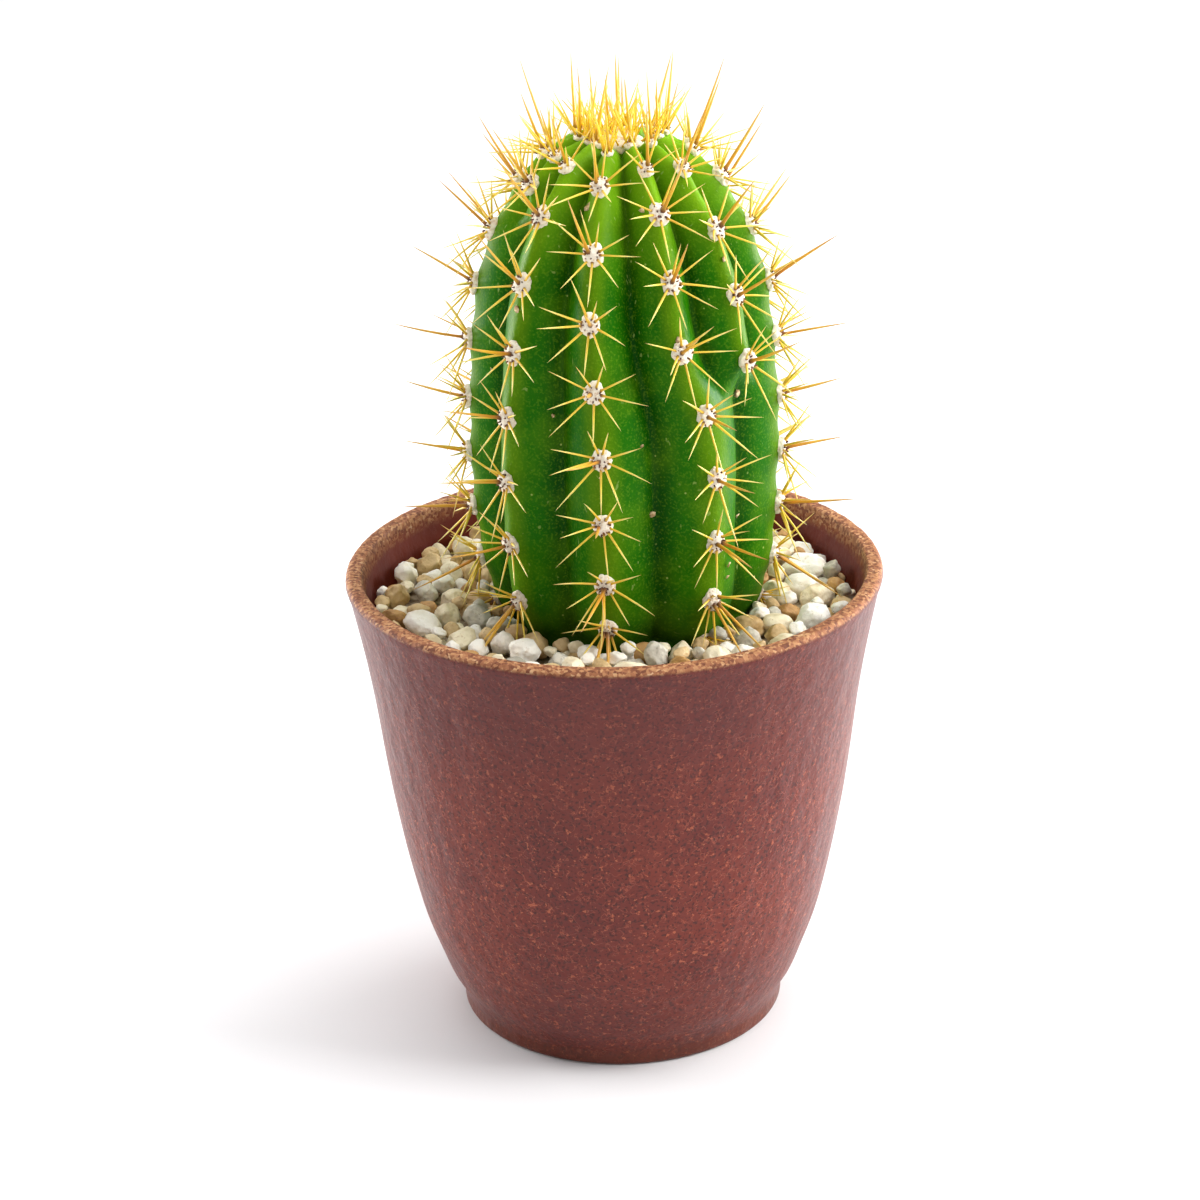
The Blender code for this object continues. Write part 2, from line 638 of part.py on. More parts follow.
def build_pebble(stone, number):
    """A water-worn stone that rests on the gravel bed."""
    rng = random.Random(100 + number)
    work = bmesh.new()
    bmesh.ops.create_icosphere(work, subdivisions=2, radius=0.5)
    bumps = [(Vector((rng.uniform(-1, 1), rng.uniform(-1, 1), rng.uniform(-1, 1))).normalized(),
              rng.uniform(0.04, 0.10)) for _ in range(4)]
    for vertex in work.verts:
        direction = vertex.co.normalized()
        dent = sum(depth * max(direction.dot(axis), 0.0) ** 2 for axis, depth in bumps)
        vertex.co = direction * (0.5 - dent)
    full = [max(vertex.co[axis] for vertex in work.verts) - min(vertex.co[axis] for vertex in work.verts)
            for axis in range(3)]
    spin = Euler((rng.uniform(-0.25, 0.25), rng.uniform(-0.25, 0.25), rng.uniform(0, math.tau)))
    spin = spin.to_matrix()
    for vertex in work.verts:
        vertex.co = spin @ Vector([vertex.co[axis] * stone["size"][axis] / full[axis] for axis in range(3)])
    lowest = min(vertex.co.z for vertex in work.verts)
    for vertex in work.verts:
        vertex.co.z -= lowest
    mesh = bpy.data.meshes.new("pebble")
    work.to_mesh(mesh)
    work.free()
    mesh.shade_smooth()
    mesh.materials.append(material(stone["kind"]))
    thing = bpy.data.objects.new("pebble_%02d" % number, mesh)
    thing.location = (stone["place"].x, stone["place"].y, BED_TOP + FIT_GAP)
    bpy.context.collection.objects.link(thing)
    return thing


def build_all():
    clear_scene()
    build_pot()
    build_soil()
    build_gravel_bed()
    build_stem()
    for number, rib in enumerate(range(len(RIBS)), start=1):
        build_spine_row(rib, number)
    build_crown_tuft()
    for number, stone in enumerate(pebble_layout(), start=1):
        build_pebble(stone, number)


build_all()
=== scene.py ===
"""Potted torch cactus, as it looks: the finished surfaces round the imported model."""
import math
import random

import bmesh
import bpy
import numpy as np
from mathutils import Matrix, Vector, noise
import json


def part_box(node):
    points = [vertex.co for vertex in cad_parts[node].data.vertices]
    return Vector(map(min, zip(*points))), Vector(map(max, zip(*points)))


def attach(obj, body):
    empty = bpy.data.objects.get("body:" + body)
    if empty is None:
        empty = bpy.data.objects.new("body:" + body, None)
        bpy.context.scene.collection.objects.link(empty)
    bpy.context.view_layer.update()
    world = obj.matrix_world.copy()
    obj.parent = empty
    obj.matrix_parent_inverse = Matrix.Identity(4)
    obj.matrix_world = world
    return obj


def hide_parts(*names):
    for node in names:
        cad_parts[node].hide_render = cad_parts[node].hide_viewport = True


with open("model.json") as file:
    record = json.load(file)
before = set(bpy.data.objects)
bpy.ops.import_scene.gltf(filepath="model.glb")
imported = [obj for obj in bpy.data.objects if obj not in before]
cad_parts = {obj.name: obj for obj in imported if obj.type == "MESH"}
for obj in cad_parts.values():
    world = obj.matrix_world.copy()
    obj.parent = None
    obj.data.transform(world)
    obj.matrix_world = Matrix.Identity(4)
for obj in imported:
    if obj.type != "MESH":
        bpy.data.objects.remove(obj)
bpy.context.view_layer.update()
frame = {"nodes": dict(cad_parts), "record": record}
MM = 0.001

# ---- Camera --------------------------------------------------------------------------------
# A long lens about two thirds of a metre away, looking down into the pot from the front. It aims
# just below the rim, a touch left of the pot's axis, and is held very slightly crooked.
rim_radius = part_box("pot")[1].x
rim_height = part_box("pot")[1].z
camera_reach = 13.04  # rim radii
aim = Vector((-0.055 * rim_radius, -0.044 * rim_radius, rim_height - 6.4 * MM))
tilt = math.radians(22.95)
crooked = math.radians(1.34)
forward = Vector((0.0, math.cos(tilt), -math.sin(tilt)))
level_right = Vector((1.0, 0.0, 0.0))
level_up = level_right.cross(forward)
right = level_right * math.cos(crooked) - level_up * math.sin(crooked)
up = level_right * math.sin(crooked) + level_up * math.cos(crooked)
lens = bpy.data.cameras.new("long_lens")
lens.lens = 105.0
lens.sensor_width = 36.0
lens.clip_start = 0.05
camera = bpy.data.objects.new("camera", lens)
turn = Matrix((right, up, -forward)).transposed().to_4x4()
camera.matrix_world = Matrix.Translation(aim - forward * camera_reach * rim_radius) @ turn
bpy.context.scene.collection.objects.link(camera)
bpy.context.scene.camera = camera

# ---- Studio --------------------------------------------------------------------------------
# A seamless white table under a wide overhead softbox. A second softbox stands high on the right
# and throws the soft shadow to the left; two low panels, a little behind, brighten the sides.


class Wire:
    """One node socket. Arithmetic on it adds Math nodes; node() adds any other kind."""

    def __init__(self, tree, socket=None):
        self.tree = tree
        self.socket = socket

    def node(self, kind, settings=None, inputs=None, out=0):
        """Add a node: its settings first, then the values or links of its sockets."""
        made = self.tree.nodes.new(kind)
        for name, value in (settings or {}).items():
            if name == "stops":
                ramp = made.color_ramp
                while len(ramp.elements) < len(value):
                    ramp.elements.new(1.0)
                for stop, (place, colour) in zip(ramp.elements, value):
                    stop.position = place
                    stop.color = (*colour, 1.0)
            else:
                setattr(made, name, value)
        for name, value in (inputs or {}).items():
            if isinstance(value, Wire):
                self.tree.links.new(value.socket, made.inputs[name])
            elif isinstance(value, tuple) and len(value) == 3 and made.inputs[name].type == "RGBA":
                made.inputs[name].default_value = (*value, 1.0)
            else:
                made.inputs[name].default_value = value
        return Wire(self.tree, made.outputs[out])

    def object_place(self):
        """The place on the object."""
        return self.node("ShaderNodeTexCoord", {}, {}, out=3)

    def cloudy(self, place, scale, detail):
        """A cloudy pattern over a place; a larger scale is finer."""
        return self.node("ShaderNodeTexNoise", {}, {"Vector": place, "Scale": scale, "Detail": detail})

    def stored(self, label):
        """A number kept on the mesh's points."""
        return self.node("ShaderNodeAttribute", {"attribute_name": label}, {}, out=2)

    def math(self, operation, *values):
        wired = {place: value for place, value in enumerate(values)}
        return self.node("ShaderNodeMath", {"operation": operation}, wired)

    def __add__(self, other):
        return self.math("ADD", self, other)

    __radd__ = __add__

    def __mul__(self, other):
        return self.math("MULTIPLY", self, other)

    __rmul__ = __mul__

    def __sub__(self, other):
        return self.math("SUBTRACT", self, other)

    def __rsub__(self, other):
        return self.math("SUBTRACT", other, self)

    def mask(self, low, high):
        """0 below low, 1 above high, smooth between."""
        return self.node("ShaderNodeMapRange", {"interpolation_type": "SMOOTHSTEP"},
                         {"Value": self, "From Min": low, "From Max": high})

    def mix(self, below, above):
        """A colour that goes from below to above as this goes from 0 to 1."""
        return self.node("ShaderNodeMix", {"data_type": "RGBA"}, {0: self, 6: below, 7: above}, out=2)


def new_material(name, roughness=0.5, **constants):
    """A Principled material; constants are set on the shader's own sockets."""
    made = bpy.data.materials.new(name)
    made.use_nodes = True
    shader = made.node_tree.nodes["Principled BSDF"]
    shader.inputs["Roughness"].default_value = roughness
    for socket, value in constants.items():
        shader.inputs[socket.replace("_", " ")].default_value = value
    return made, shader, Wire(made.node_tree)


def finish_material(made, shader, colour=None, roughness=None, bump=None, depth=0.0001):
    """Feed the shader's colour, its roughness and a bump of a depth in metres."""
    links = made.node_tree.links
    if colour is not None:
        links.new(colour.socket, shader.inputs["Base Color"])
    if roughness is not None:
        links.new(roughness.socket, shader.inputs["Roughness"])
    if bump is not None:
        raised = bump.node("ShaderNodeBump", {}, {"Height": bump, "Distance": depth, "Strength": 1.0})
        links.new(raised.socket, shader.inputs["Normal"])
    return made


def add_object(name, points, faces, surface, smooth=True, **attributes):
    """A mesh object from points and faces, with numbers for the shader kept on its points."""
    mesh = bpy.data.meshes.new(name)
    mesh.from_pydata([tuple(point) for point in points], [], faces)
    for label, values in attributes.items():
        layer = mesh.attributes.new(label, "FLOAT", "POINT")
        layer.data.foreach_set("value", np.asarray(values, np.float32))
    work = bmesh.new()
    work.from_mesh(mesh)
    bmesh.ops.recalc_face_normals(work, faces=work.faces)
    work.to_mesh(mesh)
    work.free()
    if smooth:
        mesh.shade_smooth()
    mesh.materials.append(surface)
    thing = bpy.data.objects.new(name, mesh)
    bpy.context.scene.collection.objects.link(thing)
    return thing


def add_softbox(name, place, target, size, power):
    """A rectangular area light at place, turned towards target."""
    light = bpy.data.lights.new(name, "AREA")
    light.shape = "RECTANGLE"
    light.size, light.size_y = size
    light.energy = power
    lamp = bpy.data.objects.new(name, light)
    lamp.location = place
    lamp.rotation_euler = (Vector(target) - Vector(place)).to_track_quat("-Z", "Y").to_euler()
    bpy.context.scene.collection.objects.link(lamp)


table_white, table_shader, table = new_material("table_white", 0.6)
grain = table.node("ShaderNodeTexNoise", {}, {"Scale": 40.0, "Detail": 3.0})
finish_material(table_white, table_shader, grain.mix((0.835, 0.835, 0.84), (0.855, 0.855, 0.855)))
# The far end of the table glows softly, so that it stays pale where the softboxes do not reach.
table_place = table.object_place()
table_reach = table.node("ShaderNodeVectorMath", {"operation": "LENGTH"}, {0: table_place}, out=1)
far_glow = table_reach.mask(0.6, 2.4).mix((0.0, 0.0, 0.0), (0.60, 0.60, 0.60))
table_white.node_tree.links.new(far_glow.socket, table_shader.inputs["Emission Color"])
table_shader.inputs["Emission Strength"].default_value = 1.0
table_half = 3.0
table_corners = [(-table_half, -table_half, 0), (table_half, -table_half, 0),
                 (table_half, table_half, 0), (-table_half, table_half, 0)]
floor = add_object("table_top", table_corners, [(0, 1, 2, 3)], table_white, smooth=False)

add_softbox("overhead_softbox", (0.05, 0.20, 1.2), (0.0, 0.0, 0.05), (1.3, 1.3), 12.8)
add_softbox("key_softbox", (0.95, -0.20, 0.76), (0.0, 0.0, 0.08), (0.5, 0.5), 12.2)
add_softbox("right_panel", (0.70, 0.40, 0.18), (0.0, 0.0, 0.05), (0.5, 0.35), 7.8)
add_softbox("left_panel", (-0.70, 0.40, 0.18), (0.0, 0.0, 0.05), (0.5, 0.35), 7.4)

white_room = bpy.data.worlds.new("white_room")
white_room.use_nodes = True
room = Wire(white_room.node_tree)
toward = room.node("ShaderNodeTexCoord", {}, {}, out=0)
height_of = room.node("ShaderNodeSeparateXYZ", {}, {"Vector": toward}, out=2)
glow = height_of.mask(0.02, 0.55).mix((0.95, 0.95, 0.95), (0.32, 0.32, 0.33))
white_room.node_tree.links.new(glow.socket, white_room.node_tree.nodes["Background"].inputs["Color"])
bpy.context.scene.world = white_room
bpy.context.scene.view_settings.view_transform = "Standard"

# ---- Pot -----------------------------------------------------------------------------------
# A thick-walled pot pressed from plant fibre and resin, reddish brown and slightly waxy. Its
# sides carry faint upright ripples from the mould; the flat rim is sanded and shows the grain.


def smooth_curve(points, place):
    """Height at place of a smooth curve through (x, y) points."""
    last = len(points) - 1
    place = min(max(place, points[0][0]), points[last][0])
    index = 0
    while index < last - 1 and place > points[index + 1][0]:
        index += 1
    slopes = []
    for here in (index, index + 1):
        before, after = points[max(here - 1, 0)], points[min(here + 1, last)]
        slopes.append((after[1] - before[1]) / (after[0] - before[0]))
    (x0, y0), (x1, y1) = points[index], points[index + 1]
    span = x1 - x0
    t = (place - x0) / span
    return ((1 + 2 * t) * (1 - t) ** 2 * y0 + t * (1 - t) ** 2 * span * slopes[0]
            + t * t * (3 - 2 * t) * y1 + t * t * (t - 1) * span * slopes[1])


def blend_step(low, high, value):
    """0 below low, 1 above high, smooth between."""
    t = min(max((value - low) / (high - low), 0.0), 1.0)
    return t * t * (3 - 2 * t)


def arc(centre_r, centre_z, radius, start, end, steps):
    """Points (r, z) of an arc, angles in degrees from the outward direction."""
    return [(centre_r + radius * math.cos(math.radians(start + (end - start) * step / steps)),
             centre_z + radius * math.sin(math.radians(start + (end - start) * step / steps)))
            for step in range(steps + 1)]


foot_radius, foot_height, foot_recess = 30.8 * MM, 3.6 * MM, 2.4 * MM
foot_ring, foot_round, foot_step = 4.5 * MM, 1.0 * MM, 0.3 * MM
ring_round, rim_inner_round, foot_edge = 0.6 * MM, 0.5 * MM, 0.3 * MM
wall, floor_top, inner_round, lip_round, drain_radius = 3.1 * MM, 5.6 * MM, 4.0 * MM, 1.3 * MM, 6.0 * MM
body_curve = ((0.0, 0.0), (0.02, 0.03), (0.05, 0.11), (0.095, 0.195), (0.225, 0.393), (0.47, 0.615),
              (0.78, 0.81), (1.0, 1.0))


def body_radius(height):
    """Radius of the pot's outside."""
    share = (height - foot_height) / (rim_height - foot_height)
    start = foot_radius + foot_step
    return start + (rim_radius - start) * smooth_curve(body_curve, share)


def inner_radius(height):
    """Radius of the pot's inside, rounded where it meets the floor."""
    above = height - floor_top
    straight = body_radius(max(height, foot_height)) - wall
    if above >= inner_round:
        return straight
    drop = inner_round - max(above, 0.0)
    return straight - (inner_round - math.sqrt(inner_round ** 2 - drop ** 2))


# Outline of the wall as (r, z, how much it is rim, how much it is inside).
outline = [(drain_radius, foot_recess, 0, 0), (foot_radius - foot_ring - MM, foot_recess, 0, 0)]
outline += [(r, z, 0, 0) for r, z in arc(foot_radius - foot_ring - MM, foot_recess - MM, MM, 90, 0, 4)]
outline += [(r, z, 0, 0)
            for r, z in arc(foot_radius - foot_ring + ring_round, ring_round, ring_round, 180, 270, 4)]
outline += [(r, z, 0, 0) for r, z in arc(foot_radius - foot_round, foot_round, foot_round, -90, 0, 7)]
outline += [(foot_radius, foot_height - 1.2 * MM, 0, 0),
            (foot_radius + 0.04 * MM, foot_height - 0.6 * MM, 0, 0),
            (foot_radius + 0.16 * MM, foot_height - 0.2 * MM, 0, 0)]
outside_levels, inside_levels, pot_sides = 60, 40, 240
for level in range(outside_levels):
    height = (foot_height + foot_edge
              + (rim_height - lip_round - foot_height - foot_edge) * level / outside_levels)
    outline.append((body_radius(height), height, 0, 0))
outline += [(r, z, blend_step(rim_height - 1.1 * MM, rim_height - 0.6 * MM, z), 0)
            for r, z in arc(rim_radius - lip_round, rim_height - lip_round, lip_round, 0, 90, 10)]
outline += [(rim_radius - lip_round - 0.8 * MM, rim_height, 1, 0)]
outline += [(r, z, 1, min(max(-(r - rim_radius + wall) / rim_inner_round, 0), 1))
            for r, z in arc(rim_radius - wall + rim_inner_round, rim_height - rim_inner_round,
                            rim_inner_round, 90, 180, 5)]
inside_top = rim_height - rim_inner_round
for level in range(1, inside_levels + 1):
    height = inside_top - (inside_top - floor_top) * (1 - (1 - level / inside_levels) ** 0.8)
    outline.append((inner_radius(height), height, max(0.0, 1 - level / 2), 1))
outline.append((drain_radius, floor_top, 0, 1))

pot_points, pot_rim, pot_inside, pot_faces = [], [], [], []
for ring, (r, z, rimness, inside) in enumerate(outline):
    for side in range(pot_sides):
        angle = math.tau * side / pot_sides
        around = Vector((math.sin(angle), -math.cos(angle), 0.0))
        wavy = 0.0
        if foot_height < z < rim_height - MM and not inside:
            swell = noise.noise(Vector((around.x * 9.0, around.y * 9.0, z * 22.0)))
            ripple = noise.noise(Vector((around.x * 26.0, around.y * 26.0, z * 90.0 + 7.0)))
            fade = blend_step(0.0, 1.0, (z - foot_height) / (6 * MM)) * (1 - rimness)
            wavy = (0.10 * swell + 0.07 * ripple) * MM * fade
        chip = noise.noise(Vector((around.x * 150.0, around.y * 150.0, z * 2500.0))) * 0.10 * MM * rimness
        reach = r + wavy + chip * (0 if inside else 1)
        raised = z + chip * (1 if z < rim_height else 0.5)
        pot_points.append(around * reach + Vector((0, 0, raised)))
        pot_rim.append(rimness)
        pot_inside.append(inside)
        after, next_ring = (side + 1) % pot_sides, (ring + 1) % len(outline)
        pot_faces.append((ring * pot_sides + side, ring * pot_sides + after,
                          next_ring * pot_sides + after, next_ring * pot_sides + side))

pressed_fibre, fibre_shader, fibre = new_material("pressed_fibre", 0.36, Specular_IOR_Level=0.28)
place = fibre.object_place()
rim_part = fibre.stored("rimness")
inner_part = fibre.stored("inside")
upright_place = fibre.node("ShaderNodeSeparateXYZ", {}, {"Vector": place}, out=2)
clouds = fibre.cloudy(place, 60.0, 4.0)
flecks = fibre.node("ShaderNodeTexNoise", {},
                    {"Vector": place, "Scale": 1000.0, "Detail": 2.0, "Roughness": 0.6})
pores = fibre.cloudy(place, 1700.0, 3.0)
winding = fibre.cloudy(place, 620.0, 2.0)
broken = fibre.cloudy(place, 640.0, 0.0)
hairs = (1 - winding.math("ABSOLUTE", winding - 0.5).mask(0.004, 0.026)) * broken.mask(0.40, 0.54)
ripples = fibre.node("ShaderNodeMapping", {}, {"Vector": place, "Scale": (330.0, 330.0, 260.0)})
ripple_height = fibre.cloudy(ripples, 1.0, 2.0)
body = clouds.mask(0.30, 0.72).mix((0.127, 0.017, 0.0115), (0.172, 0.025, 0.0135))
body = (pores.mask(0.50, 0.64) * 0.85).mix(body, (0.045, 0.009, 0.007))
body = (hairs * 0.52).mix(body, (0.40, 0.090, 0.044))
body = (flecks.mask(0.635, 0.68) * 0.55).mix(body, (0.54, 0.140, 0.062))
# Painted shade: the body darkens towards the table over its lowest few centimetres. It also darkens towards
# the rim over its upper half, and turns a darker brown in the last few millimetres at the foot.
body = ((1 - upright_place.mask(0.004, 0.036)) * 0.25).mix(body, (0.075, 0.014, 0.010))
body = (upright_place.mask(0.040, 0.086) * 0.48).mix(body, (0.080, 0.017, 0.016))
body = ((1 - upright_place.mask(0.0006, 0.006)) * 0.55).mix(body, (0.10, 0.026, 0.010))
grains = fibre.node("ShaderNodeTexVoronoi", {}, {"Vector": place, "Scale": 1800.0}, out=1)
grain_tone = fibre.node("ShaderNodeSeparateColor", {}, {0: grains})
chips = fibre.cloudy(place, 520.0, 3.0)
sanded = fibre.node("ShaderNodeValToRGB", {"stops": (
    (0.0, (0.07, 0.02, 0.010)), (0.30, (0.20, 0.065, 0.030)), (0.55, (0.36, 0.145, 0.062)),
    (0.80, (0.52, 0.27, 0.120)), (1.0, (0.80, 0.58, 0.36)))}, {0: grain_tone * 0.66 + chips * 0.34})
# Painted shade: the inside wall is a darker, deeper red version of the body colour, smooth without fibres or
# flecks.
shaded_smooth_inside = clouds.mask(0.3, 0.7).mix((0.095, 0.007, 0.0005), (0.140, 0.012, 0.0005))
shell = inner_part.mix(body, shaded_smooth_inside)
shell = (rim_part * (pores * 0.6 + 0.62).mask(0.3, 1.0)).mix(shell, sanded)
shine = clouds * 0.14 + pores * 0.12 + 0.24 + rim_part * 0.30 + inner_part * 0.30
relief = ripple_height * 2.1 + pores * 0.25 + flecks * 0.2 + grain_tone * rim_part * 1.5 + hairs * 0.15
finish_material(pressed_fibre, fibre_shader, shell, shine, relief, 0.16 * MM)

pot_shell = add_object("pot_shell", pot_points, pot_faces, pressed_fibre, rimness=pot_rim, inside=pot_inside)
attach(pot_shell, "root")
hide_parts("pot")

# ---- Soil and fine grit --------------------------------------------------------------------
# Peaty potting mix fills the pot, and a ring of coarse sand covers it. Only the gaps between
# the stones and the drain hole show them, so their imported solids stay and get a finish.
peat, peat_shader, peaty = new_material("peat", 0.95)
peat_place = peaty.object_place()
crumbs = peaty.cloudy(peat_place, 700.0, 5.0)
finish_material(peat, peat_shader, crumbs.mask(0.35, 0.7).mix((0.012, 0.007, 0.004), (0.07, 0.04, 0.022)),
                bump=crumbs, depth=0.6 * MM)
sand, sand_shader, sandy = new_material("coarse_sand", 0.9)
sand_place = sandy.object_place()
sand_grains = sandy.node("ShaderNodeTexVoronoi", {}, {"Vector": sand_place, "Scale": 900.0}, out=0)
sand_tone = sandy.cloudy(sand_place, 600.0, 3.0)
finish_material(sand, sand_shader, sand_tone.mask(0.3, 0.7).mix((0.19, 0.13, 0.07), (0.54, 0.44, 0.30)),
                bump=sand_grains, depth=0.5 * MM)
for node_name, surface in (("potting_soil", peat), ("gravel_bed", sand)):
    frame["nodes"][node_name].data.materials.clear()
    frame["nodes"][node_name].data.materials.append(surface)

# ---- Stem ----------------------------------------------------------------------------------
# One fleshy column that grew with rounded ribs and sharp creases between them. Low down it has
# nine ribs; three more start on the way up. The skin is waxy and paler on the young crown; its
# colour also carries painted highlight down the crests and over the crown, and painted shade in the creases.
bed_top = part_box("gravel_bed")[1].z
stem_x, stem_radius, rib_groove = 2.5 * MM, 28.0 * MM, 5.2 * MM
stem_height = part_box("cactus_stem")[1].z - bed_top
root_depth = 30.0 * MM
stem_curve = ((0.79, 0.0), (0.90, 0.08), (0.965, 0.19), (1.0, 0.36), (0.985, 0.53), (0.935, 0.695),
              (0.835, 0.80), (0.70, 0.887), (0.53, 0.955), (0.35, 0.99), (0.17, 1.0))
# Each rib: angle low down, angle at the top, height where it starts, height of its lowest areole.
ribs = ((-162, -158, 0.0, 0.15), (-125, -124, 0.0, 0.19), (-87, -91, 0.0, 0.14), (-68, -67, 0.82, 0.93),
        (-49, -45, 0.0, 0.11), (-9, -13, 0.0, 0.18), (34, 20, 0.0, 0.125), (56, 50, 0.50, 0.60),
        (84, 88, 0.0, 0.135), (122, 121, 0.0, 0.18), (160, 153, 0.0, 0.15), (179, 178, 0.46, 0.60))
crest_radii = [(index, point[0]) for index, point in enumerate(stem_curve)]
crest_heights = [(index, point[1]) for index, point in enumerate(stem_curve)]
share_step = 0.002
late_ribs = [rib for rib in range(len(ribs)) if ribs[rib][2] > 0.0]
full_ribs = [rib for rib in range(len(ribs)) if ribs[rib][2] == 0.0]


def crest_point(share):
    """(radius, height) on the rib crests; share runs 0..1 from the gravel to the dip in the crown."""
    place_on = share * (len(stem_curve) - 1)
    radius = smooth_curve(crest_radii, place_on)
    height = smooth_curve(crest_heights, place_on)
    reach = radius * stem_radius
    crown = blend_step(0.74, 0.84, share)
    dip = 2.0 * MM * (1.0 - blend_step(2.5 * MM, 7.0 * MM, reach)) * crown
    shoulder = 0.3 * MM * math.exp(-((reach - 8.5 * MM) / (3.8 * MM)) ** 2) * crown
    return reach, bed_top + height * stem_height + shoulder - dip


def crest_normal(share):
    """(radial, upward) parts of the outward direction on the crests."""
    r0, z0 = crest_point(max(share - share_step, 0.0))
    r1, z1 = crest_point(min(share + share_step, 1.0))
    length = math.hypot(r1 - r0, z1 - z0)
    return (z1 - z0) / length, -(r1 - r0) / length


def tallness(share):
    """Height on the crests, 0 at the gravel and 1 at the top."""
    return (crest_point(share)[1] - bed_top) / stem_height


def rib_angle(rib, tall):
    """Where round the stem a rib's crest stands, in degrees; the ribs drift a little on the way up."""
    low, high = ribs[rib][0], ribs[rib][1]
    return low + (high - low) * blend_step(0.42, 0.72, tall)


def neighbours(angle, some_ribs, tall):
    """Angles of the crests on either side."""
    offsets = [(angle - rib_angle(rib, tall)) % 360.0 for rib in some_ribs]
    return angle - min(offsets), angle + min(360.0 - offset for offset in offsets)


def between_ribs(angle, some_ribs, tall):
    """0 on a crest and 1 in the crease."""
    left, right_side = neighbours(angle, some_ribs, tall)
    span = right_side - left
    if span < 1e-6:
        return 0.0
    return (1.0 - abs(2.0 * (angle - left) / span - 1.0)) ** 1.6


def groove(angle, tall):
    """0 on a crest and 1 in the crease, with the late ribs rising where they start."""
    late = 1.0
    for rib in late_ribs:
        left, right_side = neighbours(rib_angle(rib, tall), full_ribs, tall)
        if (angle - left) % 360.0 <= (right_side - left) % 360.0:
            late = blend_step(ribs[rib][2], ribs[rib][2] + 0.14, tall)
    near = between_ribs(angle, range(len(ribs)), tall)
    if late == 1.0:
        return near
    return late * near + (1.0 - late) * between_ribs(angle, full_ribs, tall)


def groove_depth(share):
    """How deep the creases are, shallower low down and near the crown's middle."""
    tall = tallness(share)
    shallow = 0.55 + 0.45 * blend_step(0.0, 0.35, tall)
    return rib_groove * shallow * min(1.0, crest_point(share)[0] / (0.55 * stem_radius))


def on_stem(angle, share, lift=0.0):
    """A point over the stem, raised by lift along the crest's normal."""
    radius, height = crest_point(share)
    out_r, out_z = crest_normal(share)
    radius += out_r * lift
    height += out_z * lift
    turned = math.radians(angle)
    return Vector((stem_x + radius * math.sin(turned), -radius * math.cos(turned), height))


# The front ribs carry their areoles further apart than the others, and with fewer spines.
front_ribs = [rib for rib in range(len(ribs)) if abs(ribs[rib][0]) < 60]
front_spacing, side_spacing, lowest_spacing = 12.0 * MM, 10.4 * MM, 9.0 * MM
front_radials, side_radials, young_radials = 9, 11, 5
crown_share, crown_closeness, last_share, tuft_radius = 0.84, 0.62, 0.985, 4.6 * MM


def areole_shares(rib):
    """Places of the felt pads up a rib: closer together low down, and again on the crown."""
    share = 0.0
    while tallness(share) < ribs[rib][3]:
        share += share_step
    start = share
    travelled = 1.0  # a metre, so that the first areole is set at once
    before = on_stem(0.0, share)
    shares = []
    while crest_point(share)[0] > tuft_radius and share < last_share:
        here = on_stem(0.0, share)
        travelled += (here - before).length
        before = here
        step = front_spacing if rib in front_ribs else side_spacing
        step *= 0.78 + 0.22 * blend_step(0.0, 0.35, tallness(share))
        if share > crown_share:
            step *= crown_closeness
        if travelled >= step:
            shares.append(share)
            travelled = 0.0
        share += share_step
    low = start
    dropped = 0.0
    while dropped < lowest_spacing and low > 2 * share_step:
        dropped += (on_stem(0.0, low) - on_stem(0.0, low - share_step)).length
        low -= share_step
    if tallness(low) > 0.02 and ribs[rib][2] == 0.0:
        shares.insert(0, low)
    return shares


rib_areoles = [areole_shares(rib) for rib in range(len(ribs))]
areole_spots = [on_stem(rib_angle(rib, tallness(share)), share)
                for rib in range(len(ribs)) for share in rib_areoles[rib]]
spot_array = np.array([tuple(spot) for spot in areole_spots])

column_steps, stem_levels, root_levels = 18, 230, 14
rib_order = sorted(range(len(ribs)), key=lambda rib: ribs[rib][0] % 360)


def column_angles(tall):
    """Angles of the mesh columns, which follow the crests."""
    angles = []
    for index, rib in enumerate(rib_order):
        here = rib_angle(rib, tall)
        span = (rib_angle(rib_order[(index + 1) % len(rib_order)], tall) - here) % 360.0
        angles += [here + span * step / column_steps for step in range(column_steps)]
    return angles


